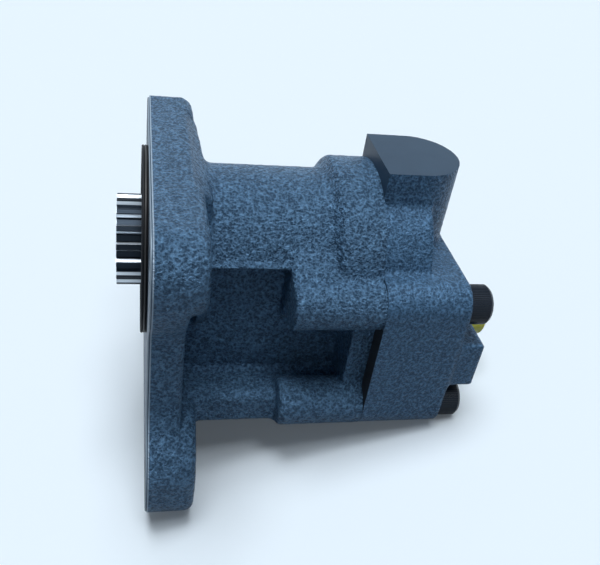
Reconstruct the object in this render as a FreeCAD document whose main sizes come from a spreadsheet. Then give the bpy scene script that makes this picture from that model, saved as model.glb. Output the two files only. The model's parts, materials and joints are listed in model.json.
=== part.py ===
# Fuel transfer pump: external gear pump with a splined drive stub, a four-eared
# mounting flange with pilot, a bolted rear cover and a relief valve across the rear.
# Frame: origin at the centre of the mounting face, +X along the drive axis to the
# rear cover, +Z up through the flat pad, millimetres.
import FreeCAD
import Part
import Sketcher
import math
import os
from FreeCAD import Vector, Placement, Rotation

os.makedirs("parts", exist_ok=True)
doc = FreeCAD.newDocument("pump")

# Every leading size of the pump, kept in one sheet that the features read.
SIZES = [
    ("corner_r", 12.7, "corner radius of the flange, round each bolt hole"),
    ("ear_at", 41.3, "bolt hole position, each way from the centre"),
    ("web_t", 10.6, "thickness of the flange web"),
    ("ear_t", 15.6, "thickness of the ears"),
    ("bolt_r", 5.25, "radius of the mounting bolt holes"),
    ("spot_r", 10.5, "radius of the spot face behind each ear"),
    ("spot_h", 0.6, "depth of the spot face"),
    ("side_in", 11.0, "recess of the flange sides between the ears"),
    ("ear_low", 29.5, "underside of the upper ears"),
    ("ear_top", -16.5, "top of the lower ears"),
    ("pilot_r", 30.0, "radius of the pilot spigot round the drive"),
    ("pilot_h", 2.0, "height of the pilot spigot"),
    ("pilot_wall", 6.0, "wall of the pilot spigot"),
    ("ring_groove_d", 1.1, "depth of the pilot seal groove"),
    ("ring_groove_w", 1.1, "width of the pilot seal groove"),
    ("ring_groove_at", 0.25, "start of the groove from the mounting face"),
    ("ring_sec", 0.53, "section radius of the pilot seal"),
    ("drive_z", 23.2, "height of the drive axis"),
    ("idler_z", -3.8, "height of the idler axis"),
    ("mesh_z", 9.7, "height of the gear mesh"),
    ("barrel_r", 25.3, "radius of the front barrel"),
    ("collar_r", 29.6, "radius of the rear collar of the body"),
    ("collar_at", 56.5, "start of the collar"),
    ("seam", 71.0, "joint between the body and the cover"),
    ("cover_end", 99.0, "rear face of the cover"),
    ("half_w", 38.5, "half width of the cover"),
    ("low", 28.5, "cover below the origin"),
    ("high", 29.5, "cover above the origin"),
    ("block_r", 8.4, "corner radius of the cover"),
    ("screw_y", 30.3, "cover screw position across"),
    ("screw_z", 20.5, "cover screw position up"),
    ("column_r", 8.1, "radius of the screw columns"),
    ("column_at", 42.0, "start of the screw columns"),
    ("core_half", 17.6, "half width of the core between the pockets"),
    ("rim_at", 64.0, "start of the rear rim of the body"),
    ("rim_half", 32.0, "half width of the rear rim"),
    ("ledge_z", 29.5, "underside of the barrel ledge"),
    ("rib_z", -18.8, "top of the lower rib"),
    ("lobe_r", 25.0, "radius of the cover lobe over the drive bearing"),
    ("lobe_end", 87.5, "rear face of the lobe"),
    ("pad_half", 14.2, "half width of the flat pad"),
    ("pad_z", 57.5, "height of the flat pad"),
    ("bar_out", 9.0, "valve bar beyond the cover"),
    ("bar_low", -9.0, "underside of the valve bar"),
    ("bar_high", 8.4, "top of the valve bar"),
    ("bar_in", 1.3, "valve bar short of the side of the cover"),
    ("seal_bore_r", 18.0, "bore for the shaft seal"),
    ("seal_bore_h", 12.5, "depth of the seal bore"),
    ("clip_groove_r", 19.0, "groove for the seal clip"),
    ("neck_bore_r", 12.6, "bore behind the seal"),
    ("neck_bore_end", 26.0, "end of the bore behind the seal"),
    ("pass_bore_r", 9.0, "bore ahead of the front bush"),
    ("bush_r", 11.0, "outer radius of the bushes"),
    ("bush_bore_r", 8.04, "bore of the bushes"),
    ("journal_r", 8.0, "radius of the shaft journals"),
    ("front_bush_at", 32.0, "start of the drive front bush"),
    ("idler_bush_at", 35.5, "start of the idler front bush"),
    ("cavity_at", 50.0, "front of the gear chamber"),
    ("cavity_r", 15.7, "radius of the gear chamber"),
    ("plate_t", 2.0, "thickness of the wear plates"),
    ("rear_bush_end", 82.0, "end of the rear bushes"),
    ("shaft_end", 81.4, "rear end of both shafts"),
    ("spline_from", -9.4, "front end of the spline"),
    ("spline_to", 3.0, "rear end of the spline"),
    ("port_x", 29.0, "inlet port position along the drive axis"),
    ("port_boss_r", 12.5, "radius of the inlet port boss"),
    ("port_face", 34.0, "inlet port face"),
    ("port_r", 8.25, "bore of the inlet port"),
    ("port_depth", 14.0, "depth of the inlet port"),
    ("outlet_y", -8.0, "outlet port position across"),
    ("outlet_z", -0.3, "outlet port position up"),
    ("outlet_r", 6.25, "bore of the outlet port"),
    ("outlet_depth", 12.0, "depth of the outlet port"),
    ("valve_x", 98.0, "relief bore position along the drive axis"),
    ("valve_r", 5.0, "radius of the relief bore"),
    ("seat_y", 5.0, "relief seat"),
    ("boss_rise", 0.4, "plug boss beyond the side of the cover"),
    ("plug_head", 4.8, "height of the relief plug head"),
    ("plug_head_r", 7.6, "radius of the relief plug head"),
    ("plug_y", 28.0, "inner end of the relief plug"),
    ("stem_r", 11.0, "radius of the shaft under the seal"),
    ("lip_r", 11.06, "radius of the seal lip"),
    ("cap_r", 9.5, "radius of the cap rim"),
    ("cap_long", 11.4, "cap beyond the port face"),
    ("head_r", 6.5, "radius of the cover screw heads"),
    ("head_h", 8.0, "height of the cover screw heads"),
    ("screw_hole_r", 4.4, "clearance holes in the cover"),
    ("thread_r", 4.0, "threaded holes in the body"),
    ("thread_from", 51.0, "bottom of the threaded holes"),
    ("dowel_r", 2.5, "radius of the dowels"),
    ("dowel_y", 27.0, "dowel position across"),
]
sheet = doc.addObject("Spreadsheet::Sheet", "P")
sheet.Label = "P"
V = {}
for row, (name, value, note) in enumerate(SIZES, start=1):
    sheet.set("A%d" % row, name)
    sheet.set("B%d" % row, str(value))
    sheet.set("C%d" % row, note)
    sheet.setAlias("B%d" % row, name)
    V[name] = value
doc.recompute()

ALONG_X = Rotation(Vector(0, 1, 0), 90)
ALONG_Y = Rotation(Vector(1, 0, 0), -90)
UPRIGHT = Rotation()
made = []


def text(value):
    return value if isinstance(value, str) else repr(float(value))


def place(obj, x, y, z, turn):
    obj.Placement = Placement(Vector(0, 0, 0), turn)
    obj.setExpression("Placement.Base.x", text(x))
    obj.setExpression("Placement.Base.y", text(y))
    obj.setExpression("Placement.Base.z", text(z))
    return obj


def disc(label, x0, x1, y, z, r):
    """A cylinder along X from x0 to x1."""
    obj = doc.addObject("Part::Cylinder", label)
    obj.setExpression("Radius", text(r))
    obj.setExpression("Height", "(%s) - (%s)" % (text(x1), text(x0)))
    return place(obj, x0, y, z, ALONG_X)


def cross(label, y0, y1, x, z, r):
    """A cylinder along Y from y0 to y1."""
    obj = doc.addObject("Part::Cylinder", label)
    obj.setExpression("Radius", text(r))
    obj.setExpression("Height", "(%s) - (%s)" % (text(y1), text(y0)))
    return place(obj, x, y0, z, ALONG_Y)


def block(label, x0, x1, y0, y1, z0, z1):
    obj = doc.addObject("Part::Box", label)
    obj.setExpression("Length", "(%s) - (%s)" % (text(x1), text(x0)))
    obj.setExpression("Width", "(%s) - (%s)" % (text(y1), text(y0)))
    obj.setExpression("Height", "(%s) - (%s)" % (text(z1), text(z0)))
    return place(obj, x0, y0, z0, UPRIGHT)


def ring(label, x, y, z, mid, section):
    obj = doc.addObject("Part::Torus", label)
    obj.setExpression("Radius1", text(mid))
    obj.setExpression("Radius2", text(section))
    return place(obj, x, y, z, ALONG_X)


def drilled(label, start, end, r):
    """A slanted passage between two points."""
    a = Vector(*start)
    b = Vector(*end)
    obj = doc.addObject("Part::Cylinder", label)
    obj.Radius = r
    obj.Height = (b - a).Length
    obj.Placement = Placement(a, Rotation(Vector(0, 0, 1), b - a))
    return obj


def join(label, parts):
    obj = doc.addObject("Part::MultiFuse", label)
    obj.Shapes = parts
    return obj


def less(label, base, tool):
    obj = doc.addObject("Part::Cut", label)
    obj.Base = base
    obj.Tool = tool
    return obj


def rounded(points):
    """Lines and arcs of a closed outline; each point is (u, v, corner radius)."""
    count = len(points)
    runs = []
    for i, (u, v, r) in enumerate(points):
        here = Vector(u, v, 0)
        before = Vector(points[i - 1][0], points[i - 1][1], 0)
        after = Vector(points[(i + 1) % count][0], points[(i + 1) % count][1], 0)
        if r <= 0:
            runs.append((here, None, here))
            continue
        back = (before - here).normalize()
        on = (after - here).normalize()
        half = back.getAngle(on) / 2
        reach = r / math.tan(half)
        centre = here + (back + on).normalize() * (r / math.sin(half))
        middle = centre + (here - centre).normalize() * r
        runs.append((here + back * reach, middle, here + on * reach))
    edges = []
    for i, (first, middle, last) in enumerate(runs):
        if middle is not None:
            edges.append(Part.Arc(first, middle, last))
        follow = runs[(i + 1) % count][0]
        if (follow - last).Length > 1e-6:
            edges.append(Part.LineSegment(last, follow))
    return edges


def padded(label, plane, edges, holes, start, length):
    """A padded sketch in its own body; plane is 'YZ' or 'XY'."""
    body = doc.addObject("PartDesign::Body", label)
    sketch = body.newObject("Sketcher::SketchObject", label + "_sketch")
    role = {"YZ": "YZ_Plane", "XY": "XY_Plane"}[plane]
    base = [f for f in body.Origin.OriginFeatures if f.Role == role][0]
    sketch.AttachmentSupport = (base, [""])
    sketch.MapMode = "FlatFace"
    sketch.setExpression("AttachmentOffset.Base.z", text(start))
    for edge in edges:
        sketch.addGeometry(edge, False)
    for n, (u, v, r) in enumerate(holes):
        rim = sketch.addGeometry(Part.Circle(Vector(u, v, 0), Vector(0, 0, 1), V.get(r, 1.0)), False)
        datum = sketch.addConstraint(Sketcher.Constraint("Radius", rim, V.get(r, 1.0)))
        sketch.setExpression("Constraints[%d]" % datum, "P." + r)
    pad = body.newObject("PartDesign::Pad", label + "_pad")
    pad.Profile = sketch
    pad.setExpression("Length", text(length))
    body.Tip = pad
    return body


def turned(label, profile, y, z, along="X"):
    """A revolved profile of (distance, radius) points about its own axis."""
    body = doc.addObject("PartDesign::Body", label)
    sketch = body.newObject("Sketcher::SketchObject", label + "_profile")
    base = [f for f in body.Origin.OriginFeatures if f.Role == "XY_Plane"][0]
    sketch.AttachmentSupport = (base, [""])
    sketch.MapMode = "FlatFace"
    count = len(profile)
    for i in range(count):
        a = Vector(profile[i][0], profile[i][1], 0)
        b = Vector(profile[(i + 1) % count][0], profile[(i + 1) % count][1], 0)
        sketch.addGeometry(Part.LineSegment(a, b), False)
    spin = body.newObject("PartDesign::Revolution", label + "_turn")
    spin.Profile = sketch
    spin.ReferenceAxis = (sketch, ["H_Axis"])
    spin.Angle = 360.0
    body.Tip = spin
    if along == "X":
        return place(body, 0, y, z, UPRIGHT)
    return place(body, y, 0, z, Rotation(Vector(0, 0, 1), 90))


def teeth(count, pitch_r, tip_r, root_r, pressure, slack, steps=6):
    """Closed outline of an involute gear as points in the plane."""
    base_r = pitch_r * math.cos(math.radians(pressure))

    def inv(r):
        if r <= base_r:
            return 0.0
        a = math.acos(base_r / r)
        return math.tan(a) - a

    half = math.pi / (2 * count) - slack / pitch_r + inv(pitch_r)
    points = []
    for tooth in range(count):
        mid = 2 * math.pi * tooth / count
        low = max(root_r, base_r)
        rise = [low + (tip_r - low) * k / (steps - 1.0) for k in range(steps)]
        left = [(r, mid - (half - inv(r))) for r in rise]
        right = [(r, mid + (half - inv(r))) for r in reversed(rise)]
        flank = left + right
        if root_r < base_r:
            flank = [(root_r, left[0][1])] + flank + [(root_r, right[-1][1])]
        points += [Vector(r * math.cos(a), r * math.sin(a), 0) for r, a in flank]
    return points


def toothed(label, points, x0, x1, z, turn):
    """A toothed blank along X at height z, turned about its axis by degrees."""
    spin = Rotation(Vector(0, 0, 1), turn)
    loop = [spin.multVec(p) for p in points]
    face = Part.Face(Part.makePolygon(loop + [loop[0]]))
    solid = face.extrude(Vector(0, 0, x1 - x0))
    obj = doc.addObject("Part::Feature", label)
    obj.Shape = solid
    return place(obj, x0, 0, z, ALONG_X)


def done(node, obj):
    """Name a finished piece and keep it for export."""
    obj.Label = node
    made.append((node, obj))
    return obj


# Casting of the pump body
C = V["corner_r"]
F = V["ear_at"] + C
WAIST = F - V["side_in"]
UNDER = V["ear_low"]
OVER = V["ear_top"]
plate = padded("flange_plate", "YZ",
               rounded([(-F, -F, C), (F, -F, C), (F, OVER - 11, 7), (WAIST, OVER, 7), (WAIST, UNDER - 9.5, 7),
                        (F, UNDER, 5), (F, F, C), (-F, F, C), (-F, UNDER, 5), (-WAIST, UNDER - 9.5, 7),
                        (-WAIST, OVER, 7), (-F, OVER - 11, 7)]), [], 0, "P.web_t")
top_pad = padded("flange_top", "YZ",
                 rounded([(-F, UNDER, 5), (F, UNDER, 5), (F, F, C), (-F, F, C)]), [], 0, "P.ear_t")
low_left = padded("flange_low_near", "YZ",
                  rounded([(-F, -F, C), (-27, -F, 6), (-27, OVER, 8), (-WAIST, OVER, 7), (-F, OVER - 11, 7)]),
                  [], 0, "P.ear_t")
low_right = padded("flange_low_far", "YZ",
                   rounded([(27, -F, 6), (F, -F, C), (F, OVER - 11, 7), (WAIST, OVER, 7), (27, OVER, 8)]),
                   [], 0, "P.ear_t")
pilot = disc("pilot", "-P.pilot_h", 0, 0, "P.drive_z", "P.pilot_r")
pilot_relief = disc("pilot_relief", "-P.pilot_h - 1", 0, 0, "P.drive_z", "P.pilot_r - P.pilot_wall")
pilot_lip = less("pilot_lip", pilot, pilot_relief)
barrel = disc("barrel", 0, "P.seam", 0, "P.drive_z", "P.barrel_r")
collar = disc("collar", "P.collar_at + 3", "P.seam", 0, "P.drive_z", "P.collar_r")
collar_step = doc.addObject("Part::Cone", "collar_step")
collar_step.setExpression("Radius1", "P.barrel_r")
collar_step.setExpression("Radius2", "P.collar_r")
collar_step.Height = 5.0
place(collar_step, "P.collar_at - 2", 0, "P.drive_z", ALONG_X)
rim = block("rim", "P.rim_at", "P.seam", "-P.rim_half", "P.rim_half", "-P.low", "P.low")
shoulder = block("shoulder", "P.column_at", "P.seam", "-P.screw_y", "P.screw_y", "P.screw_z", "P.low")
columns = []
for n, (sy, sz) in enumerate([(1, 1), (-1, 1), (1, -1), (-1, -1)]):
    columns.append(disc("column%d" % n, "P.column_at", "P.seam",
                        "%d * P.screw_y" % sy, "%d * P.screw_z" % sz, "P.column_r"))
hull = join("hull", [barrel, collar, collar_step, rim, shoulder] + columns)
pocket_near = block("pocket_near", -5, "P.column_at", -60, "-P.core_half", -60, "P.ledge_z")
pocket_far = block("pocket_far", -5, "P.column_at", "P.core_half", 60, -60, "P.ledge_z")
hull_cut = less("hull_cut", hull, join("pockets", [pocket_near, pocket_far]))
core = block("core", 0, "P.seam", "-P.core_half", "P.core_half", "-P.low", "P.ledge_z")
rib = padded("lower_rib", "YZ",
             rounded([(-32.4, -28.5, 1), (32.4, -28.5, 1), (26, -18.8, 1.5), (-26, -18.8, 1.5)]),
             [], 0, "P.seam")
port_boss = cross("port_boss", 10, "P.port_face", "P.port_x", "P.mesh_z", "P.port_boss_r")
casting = join("casting", [plate, top_pad, low_left, low_right, pilot_lip, hull_cut, core, rib, port_boss])

bores = []
for n, (sy, sz) in enumerate([(1, 1), (-1, 1), (1, -1), (-1, -1)]):
    ey = "%d * P.ear_at" % sy
    ez = "%d * P.ear_at" % sz
    bores.append(disc("bolt%d" % n, -5, 30, ey, ez, "P.bolt_r"))
    bores.append(disc("spot%d" % n, "P.ear_t - P.spot_h", "P.ear_t + 8", ey, ez, "P.spot_r"))
    bores.append(disc("thread%d" % n, "P.thread_from", "P.seam + 1",
                      "%d * P.screw_y" % sy, "%d * P.screw_z" % sz, "P.thread_r"))
for n, sy in enumerate([1, -1]):
    bores.append(disc("dowel_bore%d" % n, "P.seam - 6", "P.seam + 1", "%d * P.dowel_y" % sy, 0, "P.dowel_r"))
groove_out = disc("groove_out", "-P.ring_groove_at - P.ring_groove_w", "-P.ring_groove_at",
                  0, "P.drive_z", "P.pilot_r + 3")
groove_in = disc("groove_in", "-P.ring_groove_at - P.ring_groove_w - 1", "-P.ring_groove_at + 1",
                 0, "P.drive_z", "P.pilot_r - P.ring_groove_d")
bores.append(less("ring_groove", groove_out, groove_in))
bores.append(disc("seal_bore", -5, "P.seal_bore_h", 0, "P.drive_z", "P.seal_bore_r"))
bores.append(disc("clip_groove", 2.4, 4.2, 0, "P.drive_z", "P.clip_groove_r"))
bores.append(disc("neck_bore", 5, "P.neck_bore_end", 0, "P.drive_z", "P.neck_bore_r"))
bores.append(disc("pass_bore", 5, "P.cavity_at", 0, "P.drive_z", "P.pass_bore_r"))
bores.append(disc("front_bush_bore", "P.front_bush_at", "P.cavity_at + 1", 0, "P.drive_z", "P.bush_r"))
bores.append(disc("idler_bush_bore", "P.idler_bush_at", "P.cavity_at + 1", 0, "P.idler_z", "P.bush_r"))
bores.append(disc("cavity_top", "P.cavity_at", "P.seam + 1", 0, "P.drive_z", "P.cavity_r"))
bores.append(disc("cavity_low", "P.cavity_at", "P.seam + 1", 0, "P.idler_z", "P.cavity_r"))
bores.append(block("chambers", "P.cavity_at + P.plate_t", "P.seam + 1", -15.4, 15.4, 5.6, 13.8))
bores.append(cross("port_bore", "P.port_face - P.port_depth", "P.port_face + 5",
                   "P.port_x", "P.mesh_z", "P.port_r"))
bores.append(cross("port_feed", 9.5, "P.port_face", "P.port_x", "P.mesh_z", 3.6))
bores.append(disc("suction_way", "P.port_x", "P.cavity_at + P.plate_t + 1", 12.4, "P.mesh_z", 2.9))
pump_body = done("pump_body", less("body_cut", casting, join("body_bores", bores)))

# Rear cover
W = V["half_w"]
L = V["low"]
H = V["high"]
R = V["block_r"]
slab = padded("cover_slab", "YZ",
              rounded([(-W, -L, R), (W, -L, R), (W, H, R), (-W, H, R)]), [],
              "P.seam", "P.cover_end - P.seam")
lobe = disc("lobe", "P.seam", "P.lobe_end", 0, "P.drive_z", "P.lobe_r")
half = V["pad_half"]
tip = V["cover_end"]
bend = tip - half
outline = [
    Part.LineSegment(Vector(V["seam"], half, 0), Vector(V["seam"], -half, 0)),
    Part.LineSegment(Vector(V["seam"], -half, 0), Vector(bend, -half, 0)),
    Part.Arc(Vector(bend, -half, 0), Vector(tip, 0, 0), Vector(bend, half, 0)),
    Part.LineSegment(Vector(bend, half, 0), Vector(V["seam"], half, 0)),
]
pad = padded("cover_pad", "XY", outline, [], "P.drive_z", "P.pad_z - P.drive_z")
bar = block("valve_bar", "P.cover_end - 1", "P.cover_end + P.bar_out", "-P.half_w + P.bar_in",
            "P.half_w - P.bar_in", "P.bar_low", "P.bar_high")
plug_boss = cross("plug_boss", 25, "P.half_w + P.boss_rise", "P.valve_x", "P.outlet_z", 9.0)
cover_cast = join("cover_cast", [slab, lobe, pad, bar, plug_boss])
holes = []
for n, (sy, sz) in enumerate([(1, 1), (-1, 1), (1, -1), (-1, -1)]):
    holes.append(disc("screw_hole%d" % n, "P.seam - 1", "P.cover_end + 5",
                      "%d * P.screw_y" % sy, "%d * P.screw_z" % sz, "P.screw_hole_r"))
for n, sy in enumerate([1, -1]):
    holes.append(disc("dowel_hole%d" % n, "P.seam - 1", "P.seam + 6.5",
                      "%d * P.dowel_y" % sy, 0, "P.dowel_r"))
holes.append(disc("rear_bore_drive", "P.seam - 1", "P.rear_bush_end", 0, "P.drive_z", "P.bush_r"))
holes.append(disc("rear_bore_idler", "P.seam - 1", "P.rear_bush_end", 0, "P.idler_z", "P.bush_r"))


def track(label, mid, width, depth):
    """The oval of the cover seal round both gear bores, as a band of given width."""
    out = join(label + "_out", [
        disc(label + "_a", "P.seam", "P.seam + %s" % depth, 0, "P.drive_z", mid + width / 2.0),
        disc(label + "_b", "P.seam", "P.seam + %s" % depth, 0, "P.idler_z", mid + width / 2.0),
        block(label + "_c", "P.seam", "P.seam + %s" % depth, -mid - width / 2.0, mid + width / 2.0,
              "P.idler_z", "P.drive_z")])
    inner = join(label + "_in", [
        disc(label + "_d", "P.seam - 1", "P.seam + 5", 0, "P.drive_z", mid - width / 2.0),
        disc(label + "_e", "P.seam - 1", "P.seam + 5", 0, "P.idler_z", mid - width / 2.0),
        block(label + "_f", "P.seam - 1", "P.seam + 5", -mid + width / 2.0, mid - width / 2.0,
              "P.idler_z", "P.drive_z")])
    return less(label, out, inner)


holes.append(track("seal_track", 18.3, 2.2, "1.5"))
holes.append(disc("outlet_bore", "P.cover_end + P.bar_out - P.outlet_depth", "P.cover_end + P.bar_out + 5",
                  "P.outlet_y", "P.outlet_z", "P.outlet_r"))
holes.append(cross("valve_bore", "P.seat_y", 60, "P.valve_x", "P.outlet_z", "P.valve_r"))
holes.append(cross("seat_hole", -6, "P.seat_y + 1", "P.valve_x", "P.outlet_z", 2.6))
holes.append(drilled("pressure_way", (98.0, -8.0, -0.3), (V["seam"] - 0.5, -12.8, 9.7), 2.5))
holes.append(drilled("return_way", (98.0, 7.2, -0.3), (V["seam"] - 0.5, 12.8, 9.7), 1.3))
rear_cover = done("rear_cover", less("cover_cut", cover_cast, join("cover_bores", holes)))

# Drive shaft with its spline, seal journal and key seat
stub = toothed("stub", teeth(16, 13.7, 14.6, 12.7, 30, 0.12, 4), V["spline_from"], V["spline_to"],
               "P.drive_z", 90)
S = V["stem_r"]
J = V["journal_r"]
STOP = V["shaft_end"]
NECK = V["neck_bore_end"] - 2
stem = turned("stem", [(2.5, 0), (2.5, S + 1.4), (4.6, S + 1.4), (5.2, S), (NECK, S), (NECK + 0.6, J),
                       (STOP - 0.6, J), (STOP, J - 0.6), (STOP, 0)], 0, "P.drive_z")
key_seat = block("key_seat", 54.9, 67.1, -2.0, 2.0, "P.drive_z + 5.5", "P.drive_z + 12")
drive_shaft = done("drive_shaft", less("shaft_cut", join("shaft_blank", [stub, stem]), key_seat))

key = block("key", 55, 67, -1.98, 1.98, "P.drive_z + 5.55", "P.drive_z + 9.0")
done("gear_key", key)

FRONT = V["cavity_at"] + V["plate_t"] + 0.05
REAR = V["seam"] - V["plate_t"] - 0.05
profile = teeth(12, 13.5, 15.5, 10.9, 25, 0.11)
gear_blank = toothed("drive_gear_blank", profile, FRONT, REAR, "P.drive_z", 90)
gear_bore = join("drive_gear_bore", [
    disc("gear_hole", FRONT - 1, REAR + 1, 0, "P.drive_z", "P.journal_r + 0.01"),
    block("gear_key_way", FRONT - 1, REAR + 1, -2.0, 2.0, "P.drive_z", "P.drive_z + 9.1")])
done("drive_gear", less("drive_gear_cut", gear_blank, gear_bore))

idler_blank = toothed("idler_gear_blank", profile, FRONT, REAR, "P.idler_z", 90 + 15)
done("idler_gear", less("idler_gear_cut", idler_blank,
                        disc("idler_hole", FRONT - 1, REAR + 1, 0, "P.idler_z", "P.journal_r + 0.01")))
BEGIN = V["idler_bush_at"] + 0.8
done("idler_shaft", turned("idler_axle", [(BEGIN, 0), (BEGIN, J - 0.6), (BEGIN + 0.6, J), (STOP - 0.6, J),
                                          (STOP, J - 0.6), (STOP, 0)], 0, "P.idler_z"))


def tube(node, x0, x1, z, outer, inner):
    return done(node, less(node + "_tube",
                           disc(node + "_out", x0, x1, 0, z, outer),
                           disc(node + "_in", "(%s) - 1" % text(x0), "(%s) + 1" % text(x1), 0, z, inner)))


tube("drive_bush_front", "P.front_bush_at", "P.cavity_at", "P.drive_z", "P.bush_r", "P.bush_bore_r")
tube("idler_bush_front", "P.idler_bush_at", "P.cavity_at", "P.idler_z", "P.bush_r", "P.bush_bore_r")
tube("drive_bush_rear", "P.seam", "P.rear_bush_end", "P.drive_z", "P.bush_r", "P.bush_bore_r")
tube("idler_bush_rear", "P.seam", "P.rear_bush_end", "P.idler_z", "P.bush_r", "P.bush_bore_r")


def wear_plate(node, x0, x1):
    plate_out = join(node + "_out", [
        disc(node + "_a", x0, x1, 0, "P.drive_z", "P.cavity_r - 0.1"),
        disc(node + "_b", x0, x1, 0, "P.idler_z", "P.cavity_r - 0.1")])
    plate_in = join(node + "_in", [
        disc(node + "_c", "(%s) - 1" % x0, "(%s) + 1" % x1, 0, "P.drive_z", "P.journal_r + 0.2"),
        disc(node + "_d", "(%s) - 1" % x0, "(%s) + 1" % x1, 0, "P.idler_z", "P.journal_r + 0.2"),
        block(node + "_e", "(%s) - 1" % x0, "(%s) + 1" % x1, -20, -8, "P.mesh_z - 3.6", "P.mesh_z + 3.6"),
        block(node + "_f", "(%s) - 1" % x0, "(%s) + 1" % x1, 8, 20, "P.mesh_z - 3.6", "P.mesh_z + 3.6")])
    return done(node, less(node + "_cut", plate_out, plate_in))


wear_plate("wear_plate_front", "P.cavity_at", "P.cavity_at + P.plate_t")
wear_plate("wear_plate_rear", "P.seam - P.plate_t", "P.seam")

# Shaft seal: steel case, rubber lip and garter spring, held by a spring clip
B = V["seal_bore_r"]
D = V["seal_bore_h"]
Q = V["lip_r"]
done("seal_case", turned("case_ring", [(4.6, B - 0.02), (D - 0.1, B - 0.02), (D - 0.1, B - 3.8), (D - 1.1, B - 3.8),
                                       (D - 1.1, B - 1.0), (4.6, B - 1.0)], 0, "P.drive_z"))
done("seal_lip", turned("lip_ring", [(4.8, B - 1.05), (D - 1.15, B - 1.05), (D - 1.15, B - 3.6), (9.4, Q + 2.34),
                                     (8.0, Q), (7.2, Q), (5.6, Q + 0.94), (5.6, Q + 1.74), (8.0, Q + 2.04),
                                     (8.9, B - 2.8), (4.8, B - 2.2)], 0, "P.drive_z"))
done("garter_spring", ring("garter", 7.0, 0, "P.drive_z", "P.lip_r + 2.69", 0.55))
clip_disc = less("clip_ring", disc("clip_out", 2.5, 4.1, 0, "P.drive_z", "P.clip_groove_r - 0.1"),
                 disc("clip_in", 1, 6, 0, "P.drive_z", "P.clip_groove_r - 2.9"))
clip_gap = block("clip_gap", 1, 6, -3.5, 3.5, "P.drive_z - 25", "P.drive_z")
clip_ears = join("clip_ears", [
    disc("clip_ear_a", 2.5, 4.1, 5.0, "P.drive_z - P.clip_groove_r + 2.5", 1.5),
    disc("clip_ear_b", 2.5, 4.1, -5.0, "P.drive_z - P.clip_groove_r + 2.5", 1.5)])
clip_eyes = join("clip_eyes", [
    disc("clip_eye_a", 1, 6, 5.0, "P.drive_z - P.clip_groove_r + 2.5", 0.7),
    disc("clip_eye_b", 1, 6, -5.0, "P.drive_z - P.clip_groove_r + 2.5", 0.7)])
clip_open = less("clip_open", clip_disc, clip_gap)
done("seal_clip", less("clip_cut", join("clip_blank", [clip_open, clip_ears]), clip_eyes))

# Static seals
done("pilot_seal", ring("pilot_ring", "-P.ring_groove_at - P.ring_groove_w / 2", 0, "P.drive_z",
                        "P.pilot_r - P.ring_sec - 0.02", "P.ring_sec"))
done("cover_seal", track("cover_ring", 18.3, 1.9, "1.49"))

# Screws and dowels, each set one piece of several solids
SCREW = []
for n, (sy, sz) in enumerate([(1, 1), (-1, 1), (1, -1), (-1, -1)]):
    y = "%d * P.screw_y" % sy
    z = "%d * P.screw_z" % sz
    head = disc("head%d" % n, "P.cover_end", "P.cover_end + P.head_h", y, z, "P.head_r")
    shank = disc("shank%d" % n, "P.thread_from + 2.5", "P.cover_end", y, z, "P.thread_r - 0.03")
    socket = doc.addObject("Part::Prism", "socket%d" % n)
    socket.Polygon = 6
    socket.Circumradius = 3.46
    socket.Height = 6.0
    place(socket, "P.cover_end + P.head_h - 4", y, z, ALONG_X)
    SCREW.append(less("screw%d" % n, join("screw_blank%d" % n, [head, shank]), socket))
screws = doc.addObject("Part::Compound", "screw_set")
screws.Links = SCREW
done("cover_screws", screws)
pins = doc.addObject("Part::Compound", "dowel_set")
pins.Links = [disc("dowel%d" % n, "P.seam - 5.5", "P.seam + 6", "%d * P.dowel_y" % sy, 0, "P.dowel_r - 0.01")
              for n, sy in enumerate([1, -1])]
done("dowel_pins", pins)

# Relief valve along Y: plunger, spring, plug and its seal
T = V["seat_y"] + 0.05
G = V["valve_r"] - 0.05
done("relief_plunger", turned("plunger", [(T, 0), (T, 2.4), (T + 0.85, G), (T + 9.95, G), (T + 9.95, G - 1.2),
                                          (T + 3.15, G - 1.2), (T + 3.15, 0)],
                              "P.valve_x", "P.outlet_z", "Y"))
spring_from = T + 3.2
spring_to = V["plug_y"] - 0.05
wire = 0.5
coil_r = 3.1
helix = Part.makeHelix((spring_to - spring_from - 2 * wire) / 7.0, spring_to - spring_from - 2 * wire, coil_r)
section = Part.Wire(Part.makeCircle(wire, Vector(coil_r, 0, 0), Vector(0, 1, 0)))
coil = Part.Wire(helix.Edges).makePipeShell([section], True, True)
spring = doc.addObject("Part::Feature", "coil_spring")
spring.Shape = coil
place(spring, "P.valve_x", spring_from + wire, "P.outlet_z", ALONG_Y)
done("relief_spring", spring)
E = V["plug_y"]
A = V["half_w"] + V["boss_rise"] + 0.02
N = A + V["plug_head"] - 0.02
K = V["plug_head_r"]
plug_blank = turned("plug_blank", [(E, 0), (E, G - 0.35), (E + 0.6, G), (A, G), (A, K), (N - 0.6, K),
                                   (N, K - 0.6), (N, 0)], "P.valve_x", "P.outlet_z", "Y")
plug_hex = doc.addObject("Part::Prism", "plug_hex")
plug_hex.Polygon = 6
plug_hex.Circumradius = 2.9
plug_hex.Height = 6.0
place(plug_hex, "P.valve_x", "P.half_w + P.boss_rise + 0.7", "P.outlet_z", ALONG_Y)
done("relief_plug", less("plug_cut", plug_blank, plug_hex))

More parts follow.
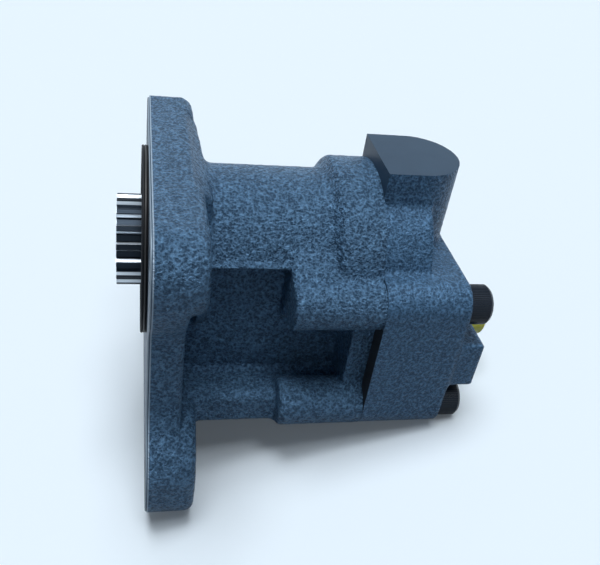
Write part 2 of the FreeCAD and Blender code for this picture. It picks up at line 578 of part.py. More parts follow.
# Plastic cap in the outlet port
M = V["cover_end"] + V["bar_out"]
Y = V["cap_r"]
Z = M + V["cap_long"]
cap_blank = turned("cap_blank", [(M - 8, 0), (M - 8, V["outlet_r"] - 0.35), (M, V["outlet_r"] - 0.1), (M + 0.02, Y),
                                 (M + 2.4, Y), (M + 2.4, Y - 1.3), (Z - 0.8, Y - 1.7), (Z, Y - 2.5), (Z, 0)],
                   "P.outlet_y", "P.outlet_z")
cap_hollow = disc("cap_hollow", "P.cover_end + P.bar_out - 6.4", "P.cover_end + P.bar_out + 17", "P.outlet_y", "P.outlet_z", 4.2)
done("port_cap", less("cap_cut", cap_blank, cap_hollow))

doc.recompute()
for obj in doc.Objects:
    bad = [state for state in obj.State if state in ("Invalid", "Error")]
    if bad:
        raise RuntimeError("%s is %s" % (obj.Name, bad))
for node, obj in made:
    shape = obj.Shape
    if shape.isNull() or not shape.isValid():
        raise RuntimeError("%s has no valid shape" % node)
    shape.exportStep("parts/%s.step" % node)
    box = shape.BoundBox
    print("%-18s solids %d  x %.2f..%.2f  y %.2f..%.2f  z %.2f..%.2f  volume %.0f" % (
        node, len(shape.Solids), box.XMin, box.XMax, box.YMin, box.YMax, box.ZMin, box.ZMax, shape.Volume))
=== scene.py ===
import json
import math

import bmesh
import bpy
from mathutils import Matrix, Vector, noise


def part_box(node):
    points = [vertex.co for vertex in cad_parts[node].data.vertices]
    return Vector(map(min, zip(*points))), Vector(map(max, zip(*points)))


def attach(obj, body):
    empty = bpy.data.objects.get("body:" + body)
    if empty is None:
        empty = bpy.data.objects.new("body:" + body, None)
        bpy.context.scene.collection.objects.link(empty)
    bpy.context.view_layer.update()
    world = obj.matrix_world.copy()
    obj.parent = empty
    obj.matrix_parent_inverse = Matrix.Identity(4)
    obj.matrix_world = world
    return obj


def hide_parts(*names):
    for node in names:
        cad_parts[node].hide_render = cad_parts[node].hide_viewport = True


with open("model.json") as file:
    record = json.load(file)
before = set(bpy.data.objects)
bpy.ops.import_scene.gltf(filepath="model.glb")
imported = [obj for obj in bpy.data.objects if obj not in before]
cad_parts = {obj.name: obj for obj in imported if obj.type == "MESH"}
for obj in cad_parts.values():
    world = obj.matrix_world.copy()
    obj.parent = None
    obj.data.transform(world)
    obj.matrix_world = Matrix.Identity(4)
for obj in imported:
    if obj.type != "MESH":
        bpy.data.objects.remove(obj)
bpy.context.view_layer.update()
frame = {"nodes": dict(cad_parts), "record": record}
nodes = frame["nodes"]


# Pump body casting: grey iron poured in a sand mould, which leaves every edge round and
# the skin coarse, then phosphated to a dark slate blue. The mounting face, the bores and
# the joint to the cover are cut afterwards, so those stay flat and crisp.
MM = 0.001
ALONG_X = Matrix.Rotation(math.pi / 2, 4, "Y")
ALONG_Y = Matrix.Rotation(-math.pi / 2, 4, "X")


class Signal:
    """A value on its way through a material's maths nodes."""

    def __init__(self, finish, socket):
        self.finish = finish
        self.socket = socket

    def sum(self, operation, first, second):
        return self.finish.node("ShaderNodeMath", {"operation": operation}, {0: first, 1: second})

    def __add__(self, other):
        return self.sum("ADD", self, other)

    __radd__ = __add__

    def __sub__(self, other):
        return self.sum("SUBTRACT", self, other)

    def __rsub__(self, other):
        return self.sum("SUBTRACT", other, self)

    def __mul__(self, other):
        return self.sum("MULTIPLY", self, other)

    __rmul__ = __mul__

    def __pow__(self, other):
        return self.sum("POWER", self, other)


class Finish:
    """A material being made: node() adds any node and returns its first output as a Signal."""

    def __init__(self, name, colour):
        self.material = bpy.data.materials.new(name)
        self.material.use_nodes = True
        self.material.diffuse_color = (*colour, 1)
        self.tree = self.material.node_tree
        self.tree.nodes.clear()
        self.place = self.node("ShaderNodeTexCoord", {}, {}, "Object")

    def node(self, kind, settings, inputs, output=0):
        made = self.tree.nodes.new(kind)
        for name, value in settings.items():
            setattr(made, name, value)
        for name, value in inputs.items():
            if isinstance(value, Signal):
                self.tree.links.new(value.socket, made.inputs[name])
            else:
                made.inputs[name].default_value = value
        return Signal(self, made.outputs[output])

    def noise(self, size, detail=2.0, rough=0.5, warp=0.0):
        """Cloudy noise whose lumps are about size metres across."""
        return self.node("ShaderNodeTexNoise", {"noise_dimensions": "3D"},
                         {"Vector": self.place, "Scale": 1 / size, "Detail": detail,
                          "Roughness": rough, "Distortion": warp}, "Fac")

    def cells(self, size):
        """Soft-edged cells about size metres across."""
        return self.node("ShaderNodeTexVoronoi", {"feature": "SMOOTH_F1"},
                         {"Vector": self.place, "Scale": 1 / size}, "Distance")

    def coordinate(self, axis):
        return self.node("ShaderNodeSeparateXYZ", {}, {0: self.place}, axis)

    def line(self, middle, outer, inner):
        """A thin line round the part at X = middle: 1 within inner of it, 0 beyond outer."""
        away = self.node("ShaderNodeMath", {"operation": "ABSOLUTE"}, {0: self.coordinate("X") - middle})
        return self.clamp(away, outer, inner)

    def blend(self, share, first, second):
        def rgba(colour):
            return colour if isinstance(colour, Signal) else (*colour, 1)
        return self.node("ShaderNodeMix", {"data_type": "RGBA"},
                         {0: share, 6: rgba(first), 7: rgba(second)}, 2)

    def clamp(self, value, low, high):
        return self.node("ShaderNodeMapRange", {"clamp": True},
                         {"Value": value, "From Min": low, "From Max": high}, "Result")

    def close(self, height=None, depth=0.0, strength=1.0, **sockets):
        """Ends the material in one Principled shader, with an optional bump."""
        inputs = {name.replace("_", " "): value for name, value in sockets.items()}
        if height is not None:
            inputs["Normal"] = self.node("ShaderNodeBump", {}, {"Height": height, "Distance": depth,
                                                                "Strength": strength}, "Normal")
        return self.surface(self.node("ShaderNodeBsdfPrincipled", {}, inputs))

    def surface(self, shader):
        out = self.tree.nodes.new("ShaderNodeOutputMaterial")
        self.tree.links.new(shader.socket, out.inputs["Surface"])
        return self.material


def cast_skin(name, low, high, lump, grain, depth, worn_and_lit_edge=(0.35, 0.45, 0.56)):
    """Phosphated sand-cast iron: lumps and grains, painted lighter where they stand highest, as rubbed wear
    and as a painted highlight.
    A thin bright line along the edge behind the mounting face is rubbed phosphate and a painted highlight."""
    f = Finish(name, high)
    lumps = f.noise(lump, 3.0, 0.55, 0.4)
    grains = f.noise(grain, 2.0, 0.6)
    pits = f.clamp(f.cells(grain * 1.7), 0.1, 0.75)
    height = lumps * 0.55 + grains * 0.4 + pits * 0.25
    # Where the bumps stand highest the colour is painted lighter: rubbed wear and a painted highlight.
    worn_and_lit_tops = f.clamp(height, 0.5, 0.8)
    # A thin bright line just behind the mounting face: rubbed phosphate and a painted highlight on the edge.
    tone = f.blend(f.line(middle=0.75 * MM, outer=0.32 * MM, inner=0.16 * MM),
                   f.blend(worn_and_lit_tops, low, high), worn_and_lit_edge)
    return f.close(height, depth, 1.0, Base_Color=tone, Roughness=0.43 - worn_and_lit_tops * 0.15, Metallic=0.25,
                   Specular_IOR_Level=0.16)


cast_iron = cast_skin("phosphated sand-cast iron", (0.024, 0.058, 0.108), (0.12, 0.25, 0.42),
                      lump=1.4 * MM, grain=0.45 * MM, depth=1.2 * MM)


def machined_skin(name, tone, dark, line):
    """Machined iron under the same phosphate: flat, with faint tool marks and stains, and
    lightened along the very edge of the mounting face, as rubbed wear and as a painted highlight."""
    f = Finish(name, tone)
    marks = f.noise(line, 3.0, 0.6)
    stain = f.noise(6 * MM, 3.0, 0.55)
    colour = f.blend(f.clamp(stain, 0.35, 0.8) * 0.5, tone, dark)
    # A thin bright line at the mounting face's edge: rubbed wear and a painted highlight.
    colour = f.blend(f.line(middle=0.2 * MM, outer=0.19 * MM, inner=0.08 * MM), colour, (0.3, 0.38, 0.46))
    return f.close(marks, 0.03 * MM, 0.6, Base_Color=colour, Roughness=0.45 - marks * 0.1,
                   Metallic=0.15, Specular_IOR_Level=0.2)


machined_iron = machined_skin("phosphated machined iron", (0.026, 0.058, 0.102),
                              (0.018, 0.042, 0.078), 0.35 * MM)
# Near-black finish that is painted shade: it stands on the lower part of the cover's joint face, where a
# shadowed gap lies, and on the pilot, which lies in shade.
f = Finish("painted shade black face", (0.006, 0.008, 0.011))
painted_shade_black = f.close(Base_Color=f.blend(f.noise(3 * MM), (0.003, 0.004, 0.006), (0.01, 0.013, 0.018)),
                     Roughness=0.6, Specular_IOR_Level=0.2)


def outline(corners, start, stop, edge=0):
    """A rounded outline of (across, up, corner radius), drawn out along the drive axis."""
    bm = bmesh.new()
    verts = [bm.verts.new((start * MM, u * MM, v * MM)) for u, v, r in corners]
    bm.faces.new(verts)
    for vert, (u, v, r) in zip(verts, corners):
        if r:
            bmesh.ops.bevel(bm, geom=[vert], offset=r * MM, offset_type="OFFSET", affect="VERTICES",
                            segments=8, profile=0.5, material=-1)
    drawn = bmesh.ops.extrude_face_region(bm, geom=bm.faces[:])
    moved = [g for g in drawn["geom"] if isinstance(g, bmesh.types.BMVert)]
    bmesh.ops.translate(bm, verts=moved, vec=((stop - start) * MM, 0, 0))
    bmesh.ops.recalc_face_normals(bm, faces=bm.faces)
    if edge:
        rim = [e for e in bm.edges if all(v in moved for v in e.verts)]
        bmesh.ops.bevel(bm, geom=rim, offset=edge * MM, offset_type="OFFSET", affect="EDGES",
                        segments=6, profile=0.5, material=-1)
    return bm


def rod(axis, start, stop, first, second, radius, far_radius=None, segments=96):
    """A round bar along X or Y; first and second are its other two coordinates."""
    bm = bmesh.new()
    turn, middle = ALONG_X, Vector(((start + stop) / 2, first, second))
    if axis == "Y":
        turn, middle = ALONG_Y, Vector((first, (start + stop) / 2, second))
    far = radius if far_radius is None else far_radius
    bmesh.ops.create_cone(bm, cap_ends=True, segments=segments, radius1=radius * MM, radius2=far * MM,
                          depth=(stop - start) * MM, matrix=Matrix.Translation(middle * MM) @ turn)
    return bm


def brick(x0, x1, y0, y1, z0, z1):
    bm = bmesh.new()
    size = Vector((x1 - x0, y1 - y0, z1 - z0)) * MM
    middle = Vector((x1 + x0, y1 + y0, z1 + z0)) * MM / 2
    bmesh.ops.create_cube(bm, size=1, matrix=Matrix.Translation(middle) @ Matrix.Diagonal((*size, 1)))
    return bm


def prism(points, near, far, far_points=None):
    """A straight-sided outline of (along, up), drawn across the pump from near to far."""
    bm = bmesh.new()
    rings = []
    for across, ring in ((near, points), (far, far_points or points)):
        rings.append([bm.verts.new((x * MM, across * MM, z * MM)) for x, z in ring])
        bm.faces.new(rings[-1])
    bmesh.ops.bridge_loops(bm, edges=bm.edges[:])
    bmesh.ops.recalc_face_normals(bm, faces=bm.faces)
    return bm


def keep_above(bm, height):
    """Cuts away what lies below a height and closes the cut."""
    cut = bmesh.ops.bisect_plane(bm, geom=bm.verts[:] + bm.edges[:] + bm.faces[:],
                                 plane_co=(0, 0, height * MM), plane_no=(0, 0, -1), clear_outer=True)
    rim = [g for g in cut["geom_cut"] if isinstance(g, bmesh.types.BMEdge)]
    bmesh.ops.edgenet_fill(bm, edges=rim)
    bmesh.ops.recalc_face_normals(bm, faces=bm.faces)
    return bm


def turned(profile, across, up, steps=96):
    """A closed profile of (distance, radius), spun about a line along X."""
    bm = bmesh.new()
    verts = [bm.verts.new((d * MM, r * MM, 0)) for d, r in profile]
    edges = [bm.edges.new(pair) for pair in zip(verts, verts[1:] + verts[:1])
             if pair[0].co.y + pair[1].co.y > 0]
    bmesh.ops.spin(bm, geom=verts + edges, axis=(1, 0, 0), cent=(0, 0, 0), angle=math.tau, steps=steps,
                   use_merge=True)
    bmesh.ops.remove_doubles(bm, verts=bm.verts, dist=1e-7)
    bmesh.ops.recalc_face_normals(bm, faces=bm.faces)
    bmesh.ops.translate(bm, verts=bm.verts, vec=(0, across * MM, up * MM))
    return bm


def piece(name, shapes, *materials):
    """One object at the origin from several bmeshes, which it uses up."""
    joined = bmesh.new()
    for shape in shapes:
        mesh = bpy.data.meshes.new("part of " + name)
        shape.to_mesh(mesh)
        shape.free()
        joined.from_mesh(mesh)
        bpy.data.meshes.remove(mesh)
    mesh = bpy.data.meshes.new(name)
    joined.to_mesh(mesh)
    joined.free()
    made = bpy.data.objects.new(name, mesh)
    bpy.context.scene.collection.objects.link(made)
    for material in materials:
        mesh.materials.append(material)
    return made


def bake(made):
    """Makes an object's modifiers part of its mesh."""
    graph = bpy.context.evaluated_depsgraph_get()
    mesh = bpy.data.meshes.new_from_object(made.evaluated_get(graph))
    made.modifiers.clear()
    made.data = mesh
    return made


def sand_cast(made, voxel, rounds, swell, wave):
    """Runs separate solids together, rounds their edges and roughens the skin."""
    melt = made.modifiers.new("melt", "REMESH")
    melt.mode = "VOXEL"
    melt.voxel_size = voxel * MM
    melt.use_smooth_shade = True
    soften = made.modifiers.new("soften", "SMOOTH")
    soften.factor = 0.5
    soften.iterations = rounds
    bake(made)
    bm = bmesh.new()
    bm.from_mesh(made.data)
    for vert in bm.verts:
        at = vert.co / (wave * MM)
        lump = noise.noise(at) + 0.5 * noise.noise(at * 2.3 + Vector((7, 3, 5)))
        vert.co += vert.normal * lump * swell * MM
    bm.to_mesh(made.data)
    bm.free()
    return made


def machine(made, cutters, operation, material):
    """Cuts or adds crisp machined forms; the new faces take the machined finish."""
    tool = piece("tool", cutters, material)
    step = made.modifiers.new("machine", "BOOLEAN")
    step.object = tool
    step.operation = operation
    step.solver = "MANIFOLD"
    step.material_mode = "TRANSFER"
    bake(made)
    bpy.data.objects.remove(tool)
    return made


def crisp(made, degrees=35):
    """Smooth shading, but with real edges kept sharp."""
    bm = bmesh.new()
    bm.from_mesh(made.data)
    for face in bm.faces:
        face.smooth = True
    for edge in bm.edges:
        edge.smooth = len(edge.link_faces) == 2 and edge.calc_face_angle(0) < math.radians(degrees)
    bm.to_mesh(made.data)
    bm.free()
    return made


def millimetres(node):
    low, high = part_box(node)
    return Vector(low) / MM, Vector(high) / MM


body_low, body_high = millimetres("pump_body")
flange = body_high.y - 0.15
seam = body_high.x
corner, ear = 12.7, 41.3
ear_back, web_back = 15.6, 10.6
waist = flange - 11.0
under, over = 29.5, -16.5
bolt_r, spot_r, spot_h = 5.25, 10.5, 0.6
drive_z = sum((c.z for c in millimetres("drive_gear"))) / 2
pilot_r, pilot_h, pilot_in = 30.0, 2.0, 24.0
seal_bore_r, seal_bore_end = 18.0, 12.5
clip_r, clip_from, clip_to = 19.0, 2.4, 4.2
neck_r, neck_end = 12.6, 40.0
barrel_r, shoulder_r, shoulder_end = 25.3, 28.0, 18.6
collar_r, collar_at, collar_slope = 29.6, 56.5, 1.6
core, ledge, block_low = 17.6, 29.5, -28.5
rim_at, rim_half = 64.0, 32.0
rib_top = -17.2
screw_y, screw_z = 30.3, 20.5
column_r, column_at = 8.1, 42.6
port_x, port_z, port_face = 29.0, 9.7, 34.0
port_r, port_boss_r = 8.25, 12.5
spare = 4.0


def flange_corners(inset):
    """The flange with a waist on each side, drawn in by a little all round."""
    half, side = flange - inset, waist - inset
    right = [(half, -half, corner), (half, over - 11, 7), (side, over, 7), (side, under - 9.5, 6),
             (half, under, 9), (half, half, corner)]
    left = [(-u, v, r) for u, v, r in reversed(right)]
    return left[-1:] + right + left[:-1]


shapes = [
    outline(flange_corners(0), -spare, web_back, 1.5),
    outline([(-flange, under, 10), (-20, under, 5), (-17, flange, 3), (-flange, flange, corner)],
            -spare, ear_back, 3.0),
    outline([(33, under, 5), (flange, under, 10), (flange, flange, corner), (33, flange, 3)],
            -spare, ear_back, 4.2),
    prism([(-spare, 35), (18.3, 35), (18.3, 48.7), (12.4, flange), (-spare, flange)], -19, 45,
          [(-spare, 35), (16.2, 35), (16.2, 48.4), (12.2, flange), (-spare, flange)]),
    rod("X", ear_back - 1, shoulder_end, 0, drive_z, shoulder_r, barrel_r),
    outline([(-flange, -flange, corner), (-27, -flange, 6), (-27, over, 8), (-waist, over, 7),
             (-flange, over - 11, 7)], -spare, ear_back, 3.0),
    outline([(27, -flange, 6), (flange, -flange, corner), (flange, over - 11, 7), (waist, over, 7),
             (27, over, 8)], -spare, ear_back, 3.0),
    keep_above(rod("X", 0, column_at + 3, 0, drive_z, barrel_r), ledge),
    rod("X", column_at, seam + spare, 0, drive_z, barrel_r),
    rod("X", collar_at - 1.4, collar_at + collar_slope, 0, drive_z, barrel_r, collar_r),
    rod("X", collar_at + collar_slope, seam + spare, 0, drive_z, collar_r),
    brick(0, seam + spare, -core, core, block_low, ledge),
    brick(rim_at, seam + spare, -rim_half, rim_half, block_low, -block_low),
    brick(column_at, seam + spare, -screw_y, screw_y, screw_z, -block_low),
    prism([(column_at, 27), (column_at, 36), (seam + spare, 36), (seam + spare, 27)], -21.5, 21.5),
    brick(ear_back, column_at, -25.6, 25.6, ledge, ledge + 1.3),
    outline([(-31.8, block_low, 1), (31.8, block_low, 1), (31.2, rib_top, 2), (-31.2, rib_top, 2)],
            0, seam + spare),
    rod("Y", 10, port_face + spare, port_x, port_z, port_boss_r),
]
for across in (-screw_y, screw_y):
    for up in (-screw_z, screw_z):
        shapes.append(rod("X", column_at, seam + spare, across, up, column_r))
for side in (-1, 1):
    shapes.append(outline([(side * 20, 24, 0), (side * 31, 26, 0), (side * 29.5, 28.6, 0),
                           (side * 22.5, 35.5, 0)], column_at, seam + spare))
body = piece("pump_casting", shapes, cast_iron)
sand_cast(body, voxel=0.8, rounds=8, swell=0.1, wave=2.2)
for cut in (brick(-40, 0.6, -80, 80, -80, 80), brick(seam, seam + 40, -80, 80, -80, 80)):
    machine(body, [cut], "DIFFERENCE", machined_iron)
machine(body, [outline(flange_corners(0.3), 1.5, 0, edge=0.25)], "UNION", machined_iron)
for across in (-ear, ear):
    for up in (-ear, ear):
        for hole in (rod("X", -5, 30, across, up, bolt_r),
                     rod("X", ear_back - spot_h, ear_back + 8, across, up, spot_r)):
            machine(body, [hole], "DIFFERENCE", machined_iron)
for hole in (rod("X", -5, seal_bore_end, 0, drive_z, seal_bore_r),
             rod("X", clip_from, clip_to, 0, drive_z, clip_r),
             rod("X", 5, neck_end, 0, drive_z, neck_r),
             brick(20, 42, port_face, port_face + 3 * spare, -10, 30),
             rod("Y", 20, port_face + spare, port_x, port_z, port_r)):
    machine(body, [hole], "DIFFERENCE", machined_iron)
groove_r, groove_from, groove_to = 28.9, -0.25, -1.35
pilot = turned([(-pilot_h, pilot_in), (-pilot_h, pilot_r - 0.3), (0.3 - pilot_h, pilot_r),
                (groove_to, pilot_r), (groove_to, groove_r), (groove_from, groove_r),
                (groove_from, pilot_r), (0.4, pilot_r), (0.4, pilot_in)], 0, drive_z, 160)
# The pilot takes the near-black finish as painted shade.
machine(body, [pilot], "UNION", painted_shade_black)
crisp(body)
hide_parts("pump_body")
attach(body, "housing")


# Rear cover: a second iron casting with a finer skin and sharper edges, bolted over the
# gear chamber. Its joint face and the flat pad on top are milled; a bar across the rear
# carries the relief valve.
cover_iron = cast_skin("phosphated fine-cast iron", (0.022, 0.056, 0.106), (0.1, 0.22, 0.385),
                       lump=1.2 * MM, grain=0.4 * MM, depth=0.6 * MM)
cover_high = millimetres("rear_cover")[1]
half_w, cover_top, slab_end, slab_corner = 38.5, 29.5, 99.0, 8.4
lobe_r, lobe_end = 27.4, 87.5
pad_half, pad_top = 14.2, cover_high.z
bar_end, bar_half, bar_low, bar_high = cover_high.x, 37.2, -9.0, 8.4
valve_x, valve_z, valve_r, valve_face, valve_boss_r = 98.0, -0.3, 5.0, 38.9, 9.0
outlet_y, outlet_r, outlet_end = -8.0, 6.25, 96.0
screw_hole_r, screw_seat_r = 4.4, 7.2
painted_shade_top = 16.0


def pad_prism(front, tip, half, low, high):
    """The flat pad's D shape: straight at the joint, half round at the rear, drawn up."""
    bm = bmesh.new()
    round_at = tip - half
    bmesh.ops.create_cone(bm, cap_ends=True, segments=96, radius1=half * MM, radius2=half * MM,
                          depth=(high - low) * MM,
                          matrix=Matrix.Translation(Vector((round_at, 0, (low + high) / 2)) * MM))
    other = brick(front, round_at, -half, half, low, high)
    return [bm, other]


shapes = [
    outline([(-half_w, block_low, slab_corner), (half_w, block_low, slab_corner),
             (half_w, cover_top, slab_corner), (-half_w, cover_top, slab_corner)], seam - spare, slab_end),
    rod("X", seam - spare, lobe_end, 0, drive_z, lobe_r),
    brick(slab_end - 3, bar_end, -bar_half, bar_half, bar_low, bar_high),
    rod("Y", 25, valve_face + spare, valve_x, valve_z, valve_boss_r),
]
shapes += pad_prism(seam - spare, slab_end - 1, pad_half, drive_z, pad_top + spare)
cover = piece("cover_casting", shapes, cover_iron)
sand_cast(cover, voxel=0.72, rounds=4, swell=0.05, wave=1.4)
# The lower part of the joint face is painted near black as painted shade; the upper part is machined.
machine(cover, [brick(seam - 40, seam, -80, 80, -80, painted_shade_top)], "DIFFERENCE", painted_shade_black)
machine(cover, [brick(seam - 40, seam, -80, 80, painted_shade_top - 0.1, 80)], "DIFFERENCE", machined_iron)
for cut in (brick(seam - 40, 160, -80, 80, pad_top, 120), brick(80, 120, valve_face, 80, -20, 20)):
    machine(cover, [cut], "DIFFERENCE", machined_iron)
for across in (-screw_y, screw_y):
    for up in (-screw_z, screw_z):
        for hole in (rod("X", 60, 130, across, up, screw_hole_r),
                     rod("X", slab_end - 0.15, 130, across, up, screw_seat_r)):
            machine(cover, [hole], "DIFFERENCE", machined_iron)
machine(cover, [rod("X", outlet_end, 130, outlet_y, valve_z, outlet_r)], "DIFFERENCE", machined_iron)
machine(cover, [rod("Y", 20, 60, valve_x, valve_z, valve_r)], "DIFFERENCE", machined_iron)
crisp(cover)
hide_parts("rear_cover")
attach(cover, "housing")


# Cover screws: four M8 socket head cap screws in black oxide, with knurled heads. They
# clamp the cover to the body, and their shanks stand in the holes behind the heads.
def black_oxide():
    f = Finish("black oxide steel", (0.008, 0.014, 0.024))
    wear = f.clamp(f.noise(1.2 * MM, 3.0, 0.6), 0.5, 0.85)
    tone = f.blend(wear * 0.5, (0.005, 0.011, 0.022), (0.014, 0.024, 0.04))
    return f.close(wear, 0.02 * MM, 0.4, Base_Color=tone, Roughness=0.3 + wear * 0.2,
                   Metallic=0.0, Specular_IOR_Level=0.25)


black_steel = black_oxide()
head_r, knurled, head_h, chamfer = 6.5, 7.0, 8.0, 0.88
key_r, key_from, shank_r, shank_end = 3.46, 4.0, 3.97, 53.5
screw_places = [(across, up) for across in (-screw_y, screw_y) for up in (-screw_z, screw_z)]


def way_round(face, across, up):
    at = face.calc_center_median()
    return math.atan2(at.z - up * MM, at.y - across * MM)


heads = []
for across, up in screw_places:
    bm = bmesh.new()
    bmesh.ops.create_circle(bm, cap_ends=True, segments=120, radius=head_r * MM,
                            matrix=Matrix.Translation(Vector((slab_end, across, up)) * MM) @ ALONG_X)
    drawn = bmesh.ops.extrude_face_region(bm, geom=bm.faces[:])
    top = [g for g in drawn["geom"] if isinstance(g, bmesh.types.BMVert)]
    bmesh.ops.translate(bm, verts=top, vec=(knurled * MM, 0, 0))
    sides = [face for face in bm.faces if abs(face.normal.x) < 0.5]
    chosen = set(sorted(sides, key=lambda face: way_round(face, across, up))[::2])
    grips = [face for face in sides if face in chosen]
    bmesh.ops.inset_individual(bm, faces=grips, thickness=0.03 * MM, depth=-0.16 * MM)
    crown = [face for face in bm.faces
             if face.normal.x > 0.9 and face.calc_center_median().x > (slab_end + knurled - 0.1) * MM]
    drawn = bmesh.ops.extrude_face_region(bm, geom=crown)
    rim = [g for g in drawn["geom"] if isinstance(g, bmesh.types.BMVert)]
    bmesh.ops.translate(bm, verts=rim, vec=((head_h - knurled) * MM, 0, 0))
    middle = Vector((slab_end + head_h, across, up)) * MM
    bmesh.ops.scale(bm, verts=rim, vec=(1, chamfer, chamfer), space=Matrix.Translation(-middle))
    bmesh.ops.delete(bm, geom=crown, context="FACES_ONLY")
    bmesh.ops.recalc_face_normals(bm, faces=bm.faces)
    heads.append(bm)
screws = piece("screw_heads", heads, black_steel)
for across, up in screw_places:
    machine(screws, [rod("X", slab_end + key_from, slab_end + 12, across, up, key_r, segments=6)],
            "DIFFERENCE", black_steel)
crisp(screws, 30)
shanks = piece("screw_shanks", [rod("X", shank_end, slab_end, across, up, shank_r, segments=40)
                                for across, up in screw_places], black_steel)
crisp(shanks)
for made in (screws, shanks):
    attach(made, "housing")
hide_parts("cover_screws")


# Splined drive stub: steel, hobbed with sixteen teeth and left bright. The lands and the floors
# between the teeth are painted near black as a painted dark reflection; the flanks keep the bright colour.
def bright():
    f = Finish("hobbed steel with painted dark reflection", (0.2, 0.21, 0.22))
    along = f.node("ShaderNodeMapping", {}, {"Vector": f.place, "Scale": (0.08, 1, 1)}, "Vector")
    lines = f.node("ShaderNodeTexNoise", {}, {"Vector": along, "Scale": 2600.0, "Detail": 2.0}, "Fac")
    y, z = f.coordinate("Y"), f.coordinate("Z") - drive_z * MM
    reach = (y * y + z * z) ** 0.5
    land = f.clamp(reach, 14.25 * MM, 14.35 * MM)
    floor = 1.0 - f.clamp(reach, 13.35 * MM, 13.5 * MM)
    behind_end = f.clamp(f.coordinate("X"), -9.38 * MM, -9.3 * MM)
    # Lands and floors painted near black: a painted dark reflection, not the steel's own colour.
    dark = f.clamp(land + floor, 0.0, 1.0) * behind_end
    tone = f.blend(dark, (0.6, 0.66, 0.72), (0.012, 0.018, 0.026))
    return f.close(lines, 0.03 * MM, 0.5, Base_Color=tone, Roughness=0.3 + lines * 0.12, Metallic=0.9)


bright_steel = bright()


# Pilot seal: a moulded black rubber ring, pressed into the groove of the pilot. It keeps
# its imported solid; only its rubber is made here.
def rubber():
    f = Finish("black rubber", (0.012, 0.012, 0.013))
    dust = f.noise(1.5 * MM, 3.0, 0.6)
    tone = f.blend(dust * 0.5, (0.006, 0.006, 0.007), (0.028, 0.029, 0.031))
    return f.close(dust, 0.02 * MM, 0.4, Base_Color=tone, Roughness=0.5, Metallic=0.0)


black_rubber = rubber()


# Outlet cap: moulded yellow plastic, pushed into the port up to its flange, with a plain
# hollow grip behind it. It keeps dirt out until the pump is fitted.
def yellow():
    f = Finish("yellow plastic", (0.86, 0.8, 0.015))
    cloud = f.noise(3 * MM, 2.0, 0.5)
    tone = f.blend(cloud * 0.5, (0.78, 0.76, 0.015), (0.86, 0.84, 0.04))
    return f.close(cloud, 0.02 * MM, 0.3, Base_Color=tone, Roughness=0.38, Metallic=0.0)


yellow_plastic = yellow()
cap_profile = [(100.0, 4.2), (100.0, 5.7), (100.4, 5.95), (108.0, 6.15), (108.02, 9.3),
               (108.3, 9.5), (110.1, 9.5), (110.4, 9.2), (110.4, 8.3), (110.8, 8.1),
               (118.8, 7.8), (119.4, 7.2), (119.4, 4.9), (118.9, 4.2), (103.0, 4.2)]
cap = piece("outlet_cap", [turned(cap_profile, outlet_y, valve_z)], yellow_plastic)
crisp(cap, 30)
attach(cap, "cap")
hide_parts("port_cap")


# Remaining pieces: gears, shafts, bushes, plates, seals, pins and valve are turned, ground
# or stamped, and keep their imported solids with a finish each.
def ground(name, tone, dark, rough):
    f = Finish(name, tone)
    stain = f.noise(2.5 * MM, 3.0, 0.6)
    lines = f.noise(0.4 * MM, 2.0, 0.5)
    colour = f.blend(f.clamp(stain, 0.4, 0.8) * 0.5, tone, dark)
    return f.close(lines, 0.01 * MM, 0.4, Base_Color=colour, Roughness=rough + lines * 0.1, Metallic=1.0)


finishes = {
    "gear_steel": ground("ground gear steel", (0.5, 0.51, 0.52), (0.3, 0.31, 0.32), 0.25),
    "plain_steel": ground("plain steel", (0.52, 0.53, 0.54), (0.32, 0.33, 0.34), 0.3),
    "bronze": ground("bearing bronze", (0.55, 0.38, 0.18), (0.36, 0.24, 0.11), 0.32),
    "bright_steel": bright_steel,
    "black_steel": black_steel,
    "black_rubber": black_rubber,
    "yellow_plastic": yellow_plastic,
    "phosphated_iron": machined_iron,
    "phosphated_iron_fine": machined_iron,
}
for part in frame["record"]["subparts"]:
    mesh = nodes[part["node"]].data
    mesh.materials.clear()
    mesh.materials.append(finishes[part["material_slot"]])


# Table, light and camera: the pump lies on its two lower ears and the lower rear edge of
# the cover, so the table is a plane through those; it lets the camera see through from below.
TABLE_COLOUR = (0.8, 0.9, 0.985)
rest_x, rest_z, below = ear_back, body_low.z, 0.2
slope = math.atan2(block_low - rest_z, slab_end - rest_x)
table_bm = bmesh.new()
tilt = Matrix.Translation(Vector((rest_x, 0, rest_z - below)) * MM) @ Matrix.Rotation(-slope, 4, "Y")
bmesh.ops.create_grid(table_bm, x_segments=1, y_segments=1, size=3.0, matrix=tilt)
table = piece("table", [table_bm])
f = Finish("pale table", TABLE_COLOUR)
seen, glossed, passed = (f.node("ShaderNodeLightPath", {}, {}, "Is %s Ray" % kind)
                         for kind in ("Camera", "Glossy", "Transmission"))
shown = f.clamp(seen + glossed + passed, 0.0, 1.0)
lit = f.node("ShaderNodeBsdfDiffuse", {}, {"Color": f.blend(shown, (0.08, 0.09, 0.1), TABLE_COLOUR)}, "BSDF")
clear = f.node("ShaderNodeBsdfTransparent", {}, {}, "BSDF")
under = f.node("ShaderNodeNewGeometry", {}, {}, "Backfacing")
glow = f.node("ShaderNodeEmission", {}, {"Color": (*TABLE_COLOUR, 1), "Strength": 1.0}, "Emission")
lifted = f.node("ShaderNodeMixShader", {}, {0: seen * 0.07, 1: lit, 2: glow}, 0)
mixed = f.node("ShaderNodeMixShader", {}, {0: under, 1: lifted, 2: clear}, 0)
table.data.materials.append(f.surface(mixed))

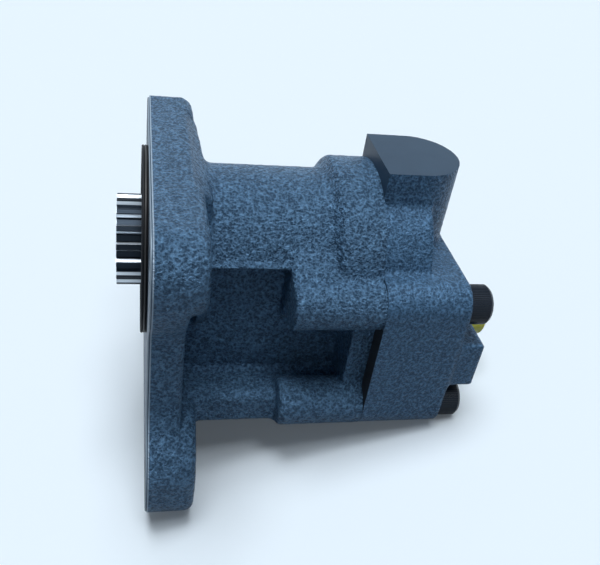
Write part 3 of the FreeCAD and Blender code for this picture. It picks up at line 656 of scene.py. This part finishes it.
world = bpy.data.worlds.new("studio")
bpy.context.scene.world = world
world.use_nodes = True
sky = world.node_tree
sky.nodes["Background"].inputs["Color"].default_value = (0.86, 0.94, 1.0, 1)
sky.nodes["Background"].inputs["Strength"].default_value = 0.13
pale = sky.nodes.new("ShaderNodeBackground")
pale.inputs["Color"].default_value = (*TABLE_COLOUR, 1)
ray = sky.nodes.new("ShaderNodeLightPath")
mirrored = sky.nodes.new("ShaderNodeMath")
sky.links.new(ray.outputs["Is Glossy Ray"], mirrored.inputs[0])
sky.links.new(ray.outputs["Is Transmission Ray"], mirrored.inputs[1])
direct = sky.nodes.new("ShaderNodeMath")
direct.use_clamp = True
sky.links.new(mirrored.outputs[0], direct.inputs[0])
sky.links.new(ray.outputs["Is Camera Ray"], direct.inputs[1])
choice = sky.nodes.new("ShaderNodeMixShader")
sky.links.new(direct.outputs[0], choice.inputs[0])
sky.links.new(sky.nodes["Background"].outputs[0], choice.inputs[1])
sky.links.new(pale.outputs[0], choice.inputs[2])
sky.links.new(choice.outputs[0], sky.nodes["World Output"].inputs[0])


def lamp(name, travel, spread, power):
    """A large even light, as far away as a window or a lit ceiling."""
    sun = bpy.data.lights.new(name, "SUN")
    sun.energy = power
    sun.angle = math.radians(spread)
    sun.color = (0.97, 0.985, 1.0)
    made = bpy.data.objects.new(name, sun)
    bpy.context.scene.collection.objects.link(made)
    made.rotation_mode = "QUATERNION"
    made.rotation_quaternion = Vector(travel).to_track_quat("-Z", "Y")


lamp("ceiling", (0.1, -0.02, -1.0), spread=30, power=2.5)
lamp("window", (-0.1, 0.36, -1.0), spread=12, power=0.5)

# The camera stands as the photograph's did: just ahead of the mounting face and 36 degrees
# up. Its lengths are in millimetres, or in pixels of a picture 600 wide.
elevation = math.radians(36.0)
focal, picture, off_middle = 734.0, 600.0, 164.5
swing = math.atan(off_middle / focal)
roll = math.radians(0.5)
away = Vector((0, math.cos(elevation), -math.sin(elevation)))
down = Vector((0, -math.sin(elevation), -math.cos(elevation)))
along = Vector((1, 0, 0))
look = away * math.cos(swing) + along * math.sin(swing)
right = along * math.cos(swing) - away * math.sin(swing)
turned_right = right * math.cos(roll) - down * math.sin(roll)
turned_down = right * math.sin(roll) + down * math.cos(roll)
camera = bpy.data.objects.new("camera", bpy.data.cameras.new("camera"))
bpy.context.scene.collection.objects.link(camera)
stand = (-255.2 * away - 5.28 * down - 3.52 * along) * MM
camera.matrix_world = Matrix((
    (turned_right.x, -turned_down.x, -look.x, stand.x),
    (turned_right.y, -turned_down.y, -look.y, stand.y),
    (turned_right.z, -turned_down.z, -look.z, stand.z),
    (0, 0, 0, 1)))
camera.data.sensor_width = 36.0
camera.data.lens = focal / picture * camera.data.sensor_width
camera.data.clip_start = 0.01
bpy.context.scene.camera = camera
bpy.context.scene.view_settings.view_transform = "Standard"
